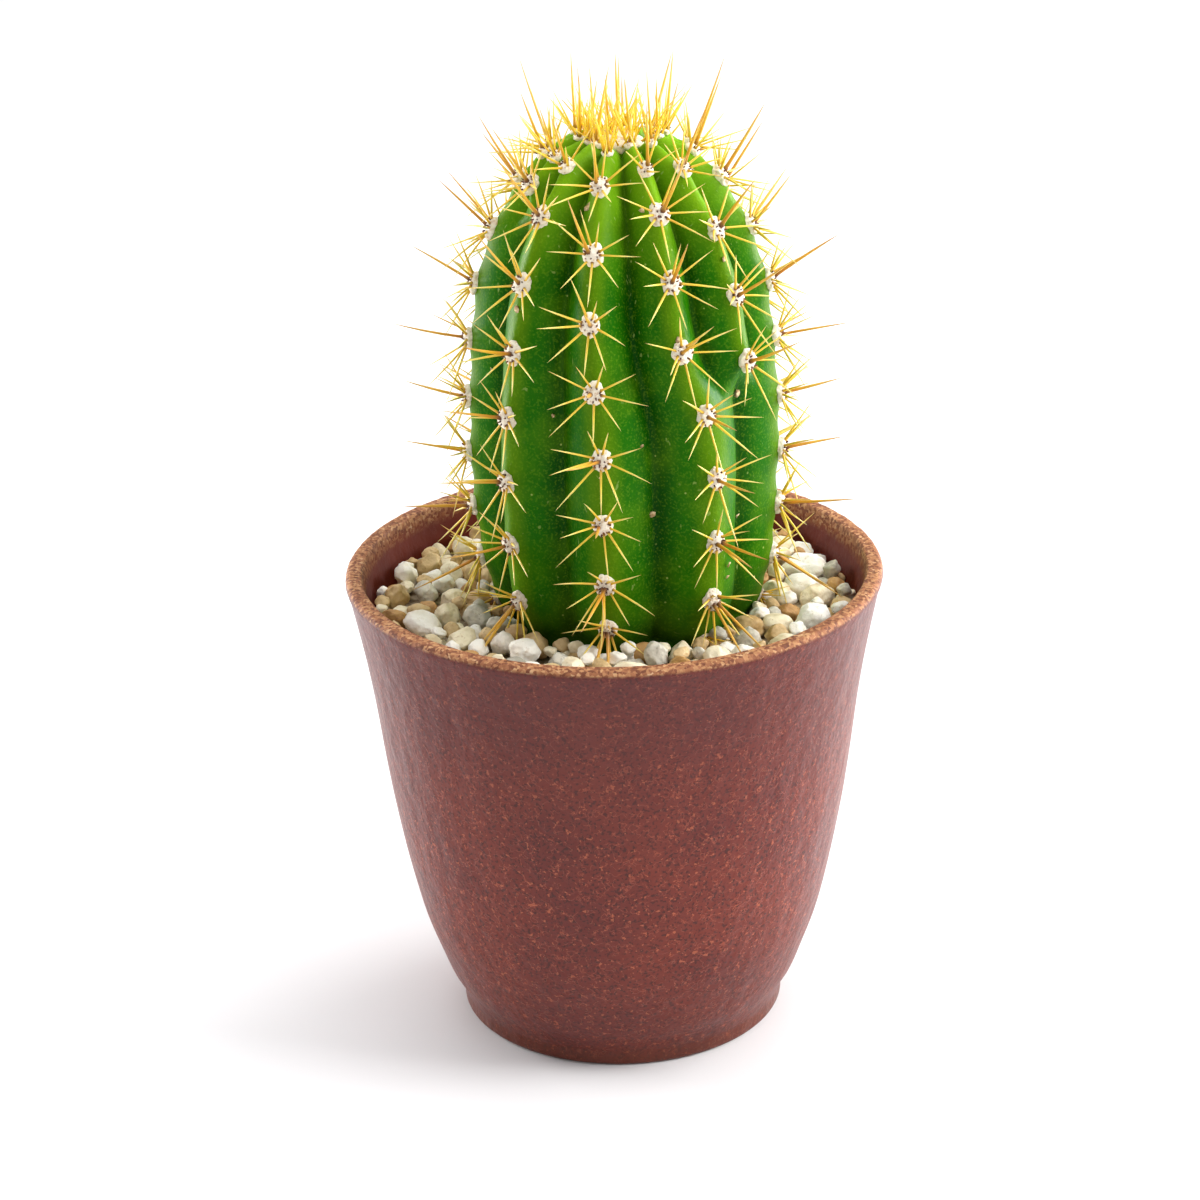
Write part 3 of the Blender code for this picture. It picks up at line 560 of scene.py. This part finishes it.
stem_points, stem_crease, stem_tall = [], [], []
root_curve = ((0.0, -1.0), (0.16, -0.98), (0.34, -0.80), (0.50, -0.52), (0.66, -0.22), (0.79, 0.0))
root_radii = [(index, point[0]) for index, point in enumerate(root_curve)]
root_heights = [(index, point[1]) for index, point in enumerate(root_curve)]
for level in range(1, root_levels):
    place_on = (len(root_curve) - 1) * level / root_levels
    radius = smooth_curve(root_radii, place_on) * stem_radius
    height = bed_top + smooth_curve(root_heights, place_on) * root_depth
    for angle in column_angles(0.0):
        turned = math.radians(angle)
        stem_points.append(Vector((stem_x + radius * math.sin(turned), -radius * math.cos(turned), height)))
        stem_crease.append(0.5)
        stem_tall.append(0.0)
for level in range(stem_levels + 1):
    share = level / stem_levels
    tall = tallness(share)
    fade = blend_step(0.0, 0.03, share)
    depth = groove_depth(share) * fade
    out_r, out_z = crest_normal(share)
    radius, height = crest_point(share)
    for angle in column_angles(tall):
        sunk = groove(angle, tall)
        turned = math.radians(angle)
        outward = Vector((out_r * math.sin(turned), -out_r * math.cos(turned), out_z))
        base = Vector((stem_x + radius * math.sin(turned), -radius * math.cos(turned), height))
        spot = base - outward * depth * sunk
        swell = noise.noise(spot * 55.0) * 0.35 + noise.noise(spot * 170.0) * 0.12
        nearest = np.min(np.sum((spot_array - np.array(spot)) ** 2, axis=1)) ** 0.5
        knob = 0.65 * math.exp(-(nearest / (3.4 * MM)) ** 2)
        stem_points.append(spot + outward * (swell + knob) * MM * fade)
        stem_crease.append(sunk)
        stem_tall.append(tall)
columns = len(rib_order) * column_steps
rows = len(stem_points) // columns
stem_faces = [tuple(range(columns)), tuple(range((rows - 1) * columns, rows * columns))]
for row in range(rows - 1):
    for column in range(columns):
        after = (column + 1) % columns
        stem_faces.append((row * columns + column, row * columns + after,
                           (row + 1) * columns + after, (row + 1) * columns + column))

waxy_skin, skin_shader, skin = new_material("waxy_skin", 0.4, Specular_IOR_Level=0.045)
place = skin.object_place()
crease = skin.stored("crease")
tall_part = skin.stored("tall")
mottle = skin.cloudy(place, 130.0, 4.0)
stomata = skin.cloudy(place, 2300.0, 2.0)
pale_specks_and_glints = skin.node("ShaderNodeTexVoronoi", {}, {"Vector": place, "Scale": 420.0, "Randomness": 1.0})
scratch_place = skin.node("ShaderNodeMapping", {},
                          {"Vector": place, "Rotation": (0.2, 0.4, 0.9), "Scale": (420.0, 1900.0, 500.0)})
scratches = skin.cloudy(scratch_place, 1.0, 2.0)
# Painted light: the lighter green down each crest is painted highlight, and the dark green deep in the
# creases is painted shade.
green = crease.mask(0.0, 0.26).mix((0.080, 0.200, 0.002), (0.012, 0.128, 0.0004))
green = (crease.mask(0.30, 0.95) * 0.92).mix(green, (0.002, 0.052, 0.0003))
# Paler yellow-green towards the top: partly the young crown's own colour, partly painted highlight from
# above, kept mostly to the crests.
green = (tall_part.mask(0.76, 1.0) * (1 - crease * 0.75)).mix(green, (0.19, 0.41, 0.008))
green = (mottle.mask(0.42, 0.72) * 0.28).mix(green, (0.11, 0.26, 0.003))
green = (stomata.mask(0.50, 0.66) * 0.17).mix(green, (0.25, 0.44, 0.02))
# Small pale specks: partly the skin's own white dots, partly painted glints.
green = ((1 - pale_specks_and_glints.mask(0.06, 0.11)) * mottle.mask(0.52, 0.60) * 0.5).mix(green, (0.55, 0.64, 0.18))
green = (scratches.mask(0.70, 0.74) * 0.45).mix(green, (0.34, 0.46, 0.12))
green = ((1 - tall_part.mask(0.02, 0.16)) * 0.55).mix(green, (0.030, 0.060, 0.002))
gloss = mottle * 0.16 + stomata * 0.12 + 0.20 + (1 - tall_part.mask(0.02, 0.2)) * 0.25
skin_relief = stomata * 0.55 + mottle * 0.6 + scratches.mask(0.68, 0.76) * 0.25
finish_material(waxy_skin, skin_shader, green, gloss, skin_relief, 0.12 * MM)
stem = add_object("ribbed_stem", stem_points, stem_faces, waxy_skin, crease=stem_crease, tall=stem_tall)
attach(stem, "root")
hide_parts("cactus_stem")

# ---- Felt pads and spines ------------------------------------------------------------------
# Up each rib sit areoles: knobbly pads of cream felt with dark dots where spines come out. Each
# has five to eleven golden spines lying nearly flat and one or two stouter ones standing up.
felt, felt_shader, felty = new_material("areole_felt", 0.95, Sheen_Weight=0.3)
place = felty.object_place()
fluff = felty.cloudy(place, 1500.0, 4.0)
blush = felty.cloudy(place, 420.0, 2.0)
aged = felty.stored("aged")
wool = fluff.mask(0.30, 0.50).mix((0.76, 0.56, 0.38), (1.0, 0.92, 0.76))
wool = (blush.mask(0.56, 0.72) * 0.40).mix(wool, (0.80, 0.58, 0.43))
wool = (aged * 0.6).mix(wool, (0.30, 0.22, 0.16))
finish_material(felt, felt_shader, wool, None, fluff, 0.35 * MM)

horn, horn_shader, horny = new_material("golden_horn", 0.38, Specular_IOR_Level=0.45, Subsurface_Weight=0.12,
                                        Subsurface_Scale=0.001)
along = horny.stored("along")
stout = horny.stored("stout")
fresh = horny.stored("fresh")
worn = horny.stored("worn")
pale = horny.node("ShaderNodeValToRGB", {"stops": (
    (0.0, (0.10, 0.035, 0.012)), (0.05, (0.26, 0.10, 0.02)), (0.10, (0.80, 0.52, 0.04)),
    (0.40, (0.92, 0.67, 0.06)), (0.72, (0.97, 0.82, 0.24)), (1.0, (0.88, 0.62, 0.20)))}, {0: along})
strong = horny.node("ShaderNodeValToRGB", {"stops": (
    (0.0, (0.07, 0.022, 0.010)), (0.06, (0.12, 0.040, 0.012)), (0.15, (0.50, 0.19, 0.012)),
    (0.50, (0.72, 0.37, 0.025)), (0.80, (0.60, 0.31, 0.05)), (1.0, (0.34, 0.17, 0.06)))}, {0: along})
young = horny.node("ShaderNodeValToRGB", {"stops": (
    (0.0, (0.72, 0.38, 0.02)), (0.15, (0.95, 0.64, 0.01)), (0.6, (0.95, 0.76, 0.03)),
    (1.0, (0.80, 0.42, 0.05)))}, {0: along})
gold = stout.mix(pale, strong)
gold = fresh.mix(gold, young)
gold = (worn * 0.45).mix(gold, (0.38, 0.23, 0.09))
finish_material(horn, horn_shader, gold)

rng = random.Random(7)
# A spine's thickness along its length: a swollen foot, a long taper and a fine point.
spine_profile = ((0.0, 1.55), (0.045, 1.5), (0.085, 1.12), (0.14, 1.0), (0.35, 0.92), (0.6, 0.74),
                 (0.82, 0.42), (0.95, 0.16))
# In millimetres: the pad's half sizes and its rise, and how long and thick the spines are.
pad_half_width, pad_half_length, pad_rise = 1.85, 2.15, 1.25
radial_length, radial_width = (6.6, 9.8), (0.38, 0.48)
central_length, central_width = (11.0, 16.0), (0.56, 0.70)
dots_per_pad = 7


class Shape:
    """Points, faces and shader numbers gathered for one object."""

    def __init__(self, *labels):
        self.points, self.faces = [], []
        self.values = {label: [] for label in labels}

    def add(self, points, faces, **values):
        start = len(self.points)
        self.points += points
        self.faces += [tuple(start + corner for corner in face) for face in faces]
        for label, value in values.items():
            listed = value if isinstance(value, list) else [value] * len(points)
            self.values[label] += listed

    def build(self, name, surface):
        return add_object(name, self.points, self.faces, surface, **self.values)


def add_spine(shape, start, direction, length, thickness, bend, colour_reach=1.0, **tones):
    """A tapered, slightly curved spine; colour_reach is how far up its own colouring it gets."""
    direction = direction.normalized()
    side = direction.orthogonal().normalized()
    other = direction.cross(side)
    sides = 6
    points, faces, along_values = [], [], []
    for share, width in spine_profile:
        middle = start + direction * length * share + bend * length * share * share
        for corner in range(sides):
            angle = math.tau * corner / sides
            around = side * math.cos(angle) + other * math.sin(angle)
            points.append(middle + around * 0.5 * thickness * width)
            along_values.append(share * colour_reach)
    points.append(start + direction * length + bend * length)
    along_values.append(colour_reach)
    for ring in range(len(spine_profile) - 1):
        for corner in range(sides):
            after = (corner + 1) % sides
            faces.append((ring * sides + corner, ring * sides + after,
                          (ring + 1) * sides + after, (ring + 1) * sides + corner))
    last = (len(spine_profile) - 1) * sides
    for corner in range(sides):
        faces.append((last + corner, last + (corner + 1) % sides, len(points) - 1))
    faces.append(tuple(range(sides)))
    shape.add(points, faces, along=along_values, **tones)


def areole_axes(rib, share):
    """Crest point, outward normal, direction down the rib and direction across it."""
    angle = rib_angle(rib, tallness(share))
    normal = (on_stem(angle, share, MM) - on_stem(angle, share)).normalized()
    across = Vector((math.cos(math.radians(angle)), math.sin(math.radians(angle)), 0.0))
    return on_stem(angle, share, 0.45 * MM), normal, across.cross(normal).normalized(), across


dome = bmesh.new()
bmesh.ops.create_icosphere(dome, subdivisions=4, radius=1.0)
dome_points = [vertex.co.copy() for vertex in dome.verts]
dome_faces = [tuple(vertex.index for vertex in face.verts) for face in dome.faces]
dome.free()


def add_pad(shape, axes, size, old):
    """A domed, knobbly felt pad, a little taller than wide."""
    point, normal, down, across = axes
    points = []
    for unit in dome_points:
        spot = (point + across * unit.x * pad_half_width * MM * size
                + down * unit.y * pad_half_length * MM * size)
        spot += normal * unit.z * (pad_rise * MM * size)
        lump = noise.noise(spot * 800.0) * 0.42 + noise.noise(spot * 1900.0) * 0.26
        points.append(spot + (spot - point).normalized() * lump * MM * (0.6 + 0.4 * size))
    shape.add(points, dome_faces, aged=old)


def add_areole_spines(shape, axes, size, tall, young_share, count):
    """The spines of one areole: radial ones all round, then the central ones."""
    point, normal, down, across = axes
    upright = Vector((0.0, 0.0, 1.0))
    old = 1.0 - blend_step(0.03, 0.14, tall)
    if young_share > 0.4:
        count = young_radials
    for index in range(count):
        angle = math.tau * index / count + rng.uniform(-0.18, 0.18)
        upwards, downwards = max(-math.cos(angle), 0.0), max(math.cos(angle), 0.0)
        outward = down * math.cos(angle) + across * math.sin(angle)
        lift = math.radians(rng.uniform(12, 30) + 8 * upwards + 30 * young_share)
        if index % 3 == 1:
            lift += math.radians(rng.uniform(8, 24))
        direction = outward * math.cos(lift) + normal * math.sin(lift) + upright * 0.45 * young_share
        if tall < 0.25:
            direction -= upright * 0.50 * (1 - tall / 0.25)
        length = rng.uniform(*radial_length) * (1.0 + 0.20 * downwards) * MM * (0.75 + 0.25 * size)
        length *= 1.0 - 0.25 * old
        start = point + outward * 1.05 * MM * size + normal * (0.50 * MM * size)
        bend = (normal * rng.uniform(-0.06, 0.07) + down * rng.uniform(-0.05, 0.05) - upright * 0.02)
        add_spine(shape, start, direction, length, rng.uniform(*radial_width) * MM * (0.8 + 0.2 * size), bend,
                  stout=0.15 * rng.random() + 0.25 * old + 0.12 * upwards,
                  fresh=young_share * rng.uniform(0.6, 1.0), worn=0.12 * rng.random() + 0.3 * old)
    centrals = 1 if tall > 0.3 or rng.random() < 0.4 else 2
    for index in range(centrals):
        rise = -0.70 + 0.88 * blend_step(0.05, 0.28, tall) + 0.50 * blend_step(0.5, 0.95, tall)
        direction = normal + upright * (rise + rng.uniform(-0.12, 0.16)) + across * rng.uniform(-0.28, 0.28)
        start = point + normal * 0.7 * MM * size + across * rng.uniform(-0.6, 0.6) * MM
        length = rng.uniform(*central_length) * MM * (0.8 + 0.2 * size) * (1.0 - 0.2 * old)
        add_spine(shape, start, direction, length, rng.uniform(*central_width) * MM * (0.75 + 0.25 * size),
                  upright * rng.uniform(-0.05, 0.09), stout=rng.uniform(0.65, 0.95), fresh=young_share * 0.45,
                  worn=0.25 * old)
    for index in range(dots_per_pad):
        angle = math.tau * (index + rng.uniform(-0.3, 0.3)) / dots_per_pad
        reach = rng.uniform(0.25, 0.75)
        outward = down * math.cos(angle) * pad_half_length + across * math.sin(angle) * pad_half_width
        start = (point + outward * reach * MM * size
                 + normal * pad_rise * math.sqrt(1 - reach ** 2) * MM * size)
        add_spine(shape, start - normal * 0.30 * MM, normal + outward * 0.25, 0.90 * MM, 0.36 * MM * size,
                  Vector((0, 0, 0)), colour_reach=0.04, stout=1.0, fresh=0.0, worn=0.0)


for rib in range(len(ribs)):
    pads, spines = Shape("aged"), Shape("along", "stout", "fresh", "worn")
    radials = front_radials if rib in front_ribs else side_radials
    for share in rib_areoles[rib]:
        tall = tallness(share)
        radius = crest_point(share)[0]
        young_share = 1.0 - blend_step(8 * MM, 17 * MM, radius) if tall > 0.6 else 0.0
        size = 1.0 - 0.45 * young_share - 0.25 * (1.0 - blend_step(0.03, 0.12, tall))
        axes = areole_axes(rib, share)
        add_pad(pads, axes, size, 0.8 * (1.0 - blend_step(0.03, 0.14, tall)) + 0.15 * rng.random())
        add_areole_spines(spines, axes, size, tall, young_share, radials)
    number = "%02d" % (rib + 1)
    pad_piece = pads.build("felt_pads_" + number, felt)
    spine_piece = spines.build("golden_spines_" + number, horn)
    for piece in (pad_piece, spine_piece):
        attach(piece, "root")
    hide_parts("spine_row_" + number)
    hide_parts("spine_row_" + number)

# ---- Dry flakes ----------------------------------------------------------------------------
# Bits of dried husk and sand that blew onto the plant and stuck to its skin: thin curled
# flakes about a millimetre across.
husk, husk_shader, husky = new_material("dry_husk", 0.8)
husk_place = husky.object_place()
husk_tone = husky.cloudy(husk_place, 1200.0, 3.0)
finish_material(husk, husk_shader, husk_tone.mask(0.35, 0.65).mix((0.34, 0.20, 0.08), (0.78, 0.60, 0.34)),
                bump=husk_tone, depth=0.2 * MM)
flakes = Shape()
flake_count, corners = 34, 7
for index in range(flake_count):
    angle, share = rng.uniform(-180, 180), rng.uniform(0.10, 0.86)
    sunk = groove_depth(share) * groove(angle, tallness(share))
    spot = on_stem(angle, share, 0.12 * MM - sunk)
    outward = (on_stem(angle, share, MM) - on_stem(angle, share)).normalized()
    sideways = outward.orthogonal().normalized()
    lengthways = outward.cross(sideways)
    reach = rng.uniform(0.25, 0.75) * MM
    rim_points = []
    for corner in range(corners):
        turned = math.tau * corner / corners
        far = reach * rng.uniform(0.6, 1.2)
        rim_points.append(spot + sideways * math.cos(turned) * far * 1.4 + lengthways * math.sin(turned) * far
                          + outward * rng.uniform(0.10, 0.45) * MM)
    flakes.add(rim_points + [spot, spot + outward * 0.30 * MM],
               [(corner, (corner + 1) % corners, corners) for corner in range(corners)]
               + [((corner + 1) % corners, corner, corners + 1) for corner in range(corners)])
flake_piece = flakes.build("dry_flakes", husk)
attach(flake_piece, "root")

# ---- Crown tuft ----------------------------------------------------------------------------
# The growing point: a cushion of pale wool in the dip at the top, with this year's spines
# standing up from it, bright yellow and still soft.
crown_spines, crown_wool = Shape("along", "stout", "fresh", "worn"), Shape("aged")
wool_ring, tuft_spines = 6, 38
tuft_reach = 5.6  # millimetres
top_point = on_stem(0.0, 1.0)
top = Vector((stem_x, 0.0, top_point.z))
for index in range(wool_ring + 1):
    angle = math.tau * index / wool_ring
    spread = 0.0 if index == wool_ring else 2.8 * MM
    spot = top + Vector((math.sin(angle), -math.cos(angle), 0)) * spread
    axes = (spot + Vector((0, 0, 0.2 * MM)), Vector((0, 0, 1)), Vector((0, -1, 0)), Vector((1, 0, 0)))
    add_pad(crown_wool, axes, 1.0, 0.0)
for index in range(tuft_spines):
    angle = rng.uniform(0, math.tau)
    inward = math.sqrt(rng.random())
    outward = Vector((math.sin(angle), -math.cos(angle), 0.0))
    start = top + outward * tuft_reach * MM * inward + Vector((0, 0, 0.2 * MM + 0.8 * MM * inward ** 2))
    stray = Vector((rng.uniform(-0.55, 0.55), rng.uniform(-0.55, 0.55), 0))
    direction = Vector((0, 0, 1)) + outward * (rng.uniform(-0.5, 0.8) + 0.5 * inward) + stray
    long_one = index % 20 == 3
    length = rng.uniform(13.0, 15.0) * MM if long_one else rng.uniform(5.0, 11.5) * MM
    add_spine(crown_spines, start, direction, length, rng.uniform(0.28, 0.40) * MM,
              outward * rng.uniform(-0.22, 0.22), stout=0.6 if long_one else rng.uniform(0.1, 0.7),
              fresh=0.4 if long_one else rng.uniform(0.45, 1.0), worn=0.0)
crown_piece = crown_spines.build("crown_spines", horn)
wool_piece = crown_wool.build("crown_wool", felt)
for piece in (crown_piece, wool_piece):
    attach(piece, "root")
    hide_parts("crown_tuft")

# ---- Pebbles -------------------------------------------------------------------------------
# Water-worn quartz and limestone pebbles, each a few millimetres, laid loose over the soil.
# The bigger ones keep their packed places; smaller stones are poured in between them.
pebble_colours = {
    "white": ((0.88, 0.82, 0.70), (1.0, 0.97, 0.89), (0.58, 0.45, 0.28)),
    "cream": ((0.68, 0.56, 0.34), (0.92, 0.83, 0.61), (0.46, 0.28, 0.11)),
    "grey": ((0.38, 0.35, 0.28), (0.72, 0.68, 0.57), (0.24, 0.19, 0.12)),
    "tan": ((0.42, 0.26, 0.09), (0.70, 0.51, 0.26), (0.26, 0.13, 0.04)),
    "brown": ((0.32, 0.15, 0.04), (0.56, 0.32, 0.11), (0.16, 0.07, 0.02)),
}


def stone_material(name, colours):
    """Weathered stone: a mottled colour with stained pits and a few specks."""
    made, shader, stone = new_material(name, 0.7)
    where = stone.object_place()
    cloud = stone.node("ShaderNodeTexNoise", {},
                       {"Vector": where, "Scale": 330.0, "Detail": 5.0, "Roughness": 0.62})
    grit = stone.cloudy(where, 1900.0, 3.0)
    patch = stone.cloudy(where, 140.0, 1.0)
    dark, light, stain = colours
    tone = (cloud * 0.6 + patch * 0.5).mask(0.38, 0.62).mix(dark, light)
    tone = (cloud.mask(0.58, 0.70) * grit.mask(0.42, 0.6) * 0.6).mix(tone, stain)
    tone = (grit.mask(0.66, 0.72) * 0.5).mix(tone, stain)
    return finish_material(made, shader, tone, grit * 0.25 + 0.48, cloud * 0.8 + grit * 0.35, 0.30 * MM)


def knap(direction, planes, firmness):
    """Flatten a unit direction's point where it stands out past the stone's broken faces."""
    spot = direction.copy()
    for facing, reach in planes:
        past = spot.dot(facing) - reach
        if past > 0.0:
            spot -= facing * past * firmness
    return spot


def broken_faces(source, count):
    """Directions and reaches of the flat faces that a stone broke or wore to."""
    faces = []
    for index in range(count):
        facing = Vector((source.gauss(0, 1), source.gauss(0, 1), source.gauss(0, 1))).normalized()
        faces.append((facing, source.uniform(0.62, 0.88)))
    return faces


facet_count = 8
pebble_surfaces = {kind: stone_material("pebble_" + kind, shades) for kind, shades in pebble_colours.items()}
slots = {entry["node"]: entry["material_slot"] for entry in frame["record"]["subparts"]}
pebble_nodes = sorted(name for name in frame["nodes"] if name.startswith("pebble_"))
for index, name in enumerate(pebble_nodes):
    work = bmesh.new()
    work.from_mesh(frame["nodes"][name].data)
    bmesh.ops.remove_doubles(work, verts=work.verts, dist=0.01 * MM)
    mesh = bpy.data.meshes.new("rough_stone")
    work.to_mesh(mesh)
    work.free()
    rough = bpy.data.objects.new("rough_stone", mesh)
    bpy.context.scene.collection.objects.link(rough)
    rounding = rough.modifiers.new("rounding", "SUBSURF")
    rounding.levels = rounding.render_levels = 3
    bpy.context.view_layer.update()
    rounded = bpy.data.meshes.new_from_object(rough.evaluated_get(bpy.context.evaluated_depsgraph_get()))
    bpy.data.objects.remove(rough)
    low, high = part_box(name)
    centre, half_size = (low + high) / 2, (high - low) / 2
    seed = Vector((index * 3.1, index * 1.7, index * 0.9))
    chips_of = broken_faces(random.Random(index + 40), facet_count)
    places = []
    for vertex in rounded.vertices:
        unit = Vector([(vertex.co[axis] - centre[axis]) / half_size[axis] for axis in range(3)])
        unit = knap(unit, chips_of, 0.70 + 0.22 * (index % 2))
        bulge = 1.0 + noise.noise(unit * 1.3 + seed) * 0.16 + noise.noise(unit * 4.0 + seed) * 0.05
        places.append([unit[axis] * half_size[axis] * bulge for axis in range(3)])
    places = np.array(places)
    small_low, small_high = places.min(0), places.max(0)
    places = np.array(low) + (places - small_low) * (np.array(high - low) / (small_high - small_low))
    rounded.vertices.foreach_set("co", places.ravel())
    rounded.shade_smooth()
    rounded.materials.clear()
    rounded.materials.append(pebble_surfaces[slots[name]])
    stone = bpy.data.objects.new("stone_" + name[-2:], rounded)
    bpy.context.scene.collection.objects.link(stone)
    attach(stone, "root")
    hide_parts(name)


stone_share = 0.06


def stem_surface_radius(angle):
    """Radius of the stem's skin at the height of the stones."""
    sunk = groove_depth(stone_share) * groove(angle, tallness(stone_share))
    return crest_point(stone_share)[0] - sunk


settled = []
for name in pebble_nodes:
    low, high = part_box(name)
    settled.append(((low + high) / 2, 0.25 * (high.x - low.x + high.y - low.y), 0.5 * (high.z - low.z)))
laid = np.array([(spot.x, spot.y, spot.z, flat, tall_half) for spot, flat, tall_half in settled])
stone_rng = random.Random(21)
fill_top = bed_top + 4.8 * MM
stones_poured, places_tried, gravel_flatness = 780, 60, 0.8
gravel_sizes = (2.6, 3.2, 3.6, 4.0, 4.6, 5.2)
stem_reach_of = [stem_surface_radius(angle) for angle in range(-180, 181)]
gravel_kinds = ("white", "white", "cream", "cream", "grey", "tan", "tan", "brown")
poured = {kind: [] for kind in pebble_colours}
for attempt in range(stones_poured):
    size = stone_rng.choice(gravel_sizes) * MM * stone_rng.uniform(0.9, 1.1) * 0.5
    best = None
    for trial in range(places_tried):
        angle = stone_rng.uniform(-180, 180)
        turned = math.radians(angle)
        wall_reach = inner_radius(bed_top + 2 * MM) - size - 0.2 * MM
        inner_limit = stem_reach_of[int(angle) + 180] + size + stem_x * math.sin(turned)
        distance = math.sqrt(stone_rng.uniform(inner_limit ** 2, wall_reach ** 2))
        x, y = distance * math.sin(turned), -distance * math.cos(turned)
        apart = np.hypot(laid[:, 0] - x, laid[:, 1] - y)
        room = laid[:, 3] + size
        touching = apart < room
        height = bed_top + size * gravel_flatness
        if touching.any():
            lift = np.sqrt(1.0 - (apart[touching] / room[touching]) ** 2)
            lift = lift * (laid[touching, 4] + size * gravel_flatness)
            height = max(height, (laid[touching, 2] + lift).max())
        if best is None or height < best[2]:
            best = (x, y, height)
    if best[2] + size * gravel_flatness > fill_top:
        continue
    laid = np.vstack([laid, (best[0], best[1], best[2], size, size * gravel_flatness)])
    poured[stone_rng.choice(gravel_kinds)].append((Vector(best), size))

for kind, stones in poured.items():
    gravel_shape = Shape()
    for spot, size in stones:
        stretch = (stone_rng.uniform(0.95, 1.3), stone_rng.uniform(0.85, 1.1), stone_rng.uniform(0.75, 0.95))
        spin = (Matrix.Rotation(stone_rng.uniform(0, math.tau), 3, "Z")
                @ Matrix.Rotation(stone_rng.uniform(-0.5, 0.5), 3, "X"))
        seed = Vector((stone_rng.uniform(0, 50), stone_rng.uniform(0, 50), stone_rng.uniform(0, 50)))
        chips_of = broken_faces(stone_rng, facet_count)
        firmness = stone_rng.uniform(0.55, 0.92)
        points = []
        for unit in dome_points:
            part = knap(unit, chips_of, firmness)
            bulge = 1.0 + 0.18 * noise.noise(unit * 1.3 + seed) + 0.06 * noise.noise(unit * 4.0 + seed)
            part = Vector([part[axis] * stretch[axis] for axis in range(3)])
            points.append(spot + spin @ part * size * bulge * 1.08)
        gravel_shape.add(points, dome_faces)
    gravel = gravel_shape.build("gravel_" + kind, pebble_surfaces[kind])
    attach(gravel, "root")

# ---- Finish --------------------------------------------------------------------------------
import json
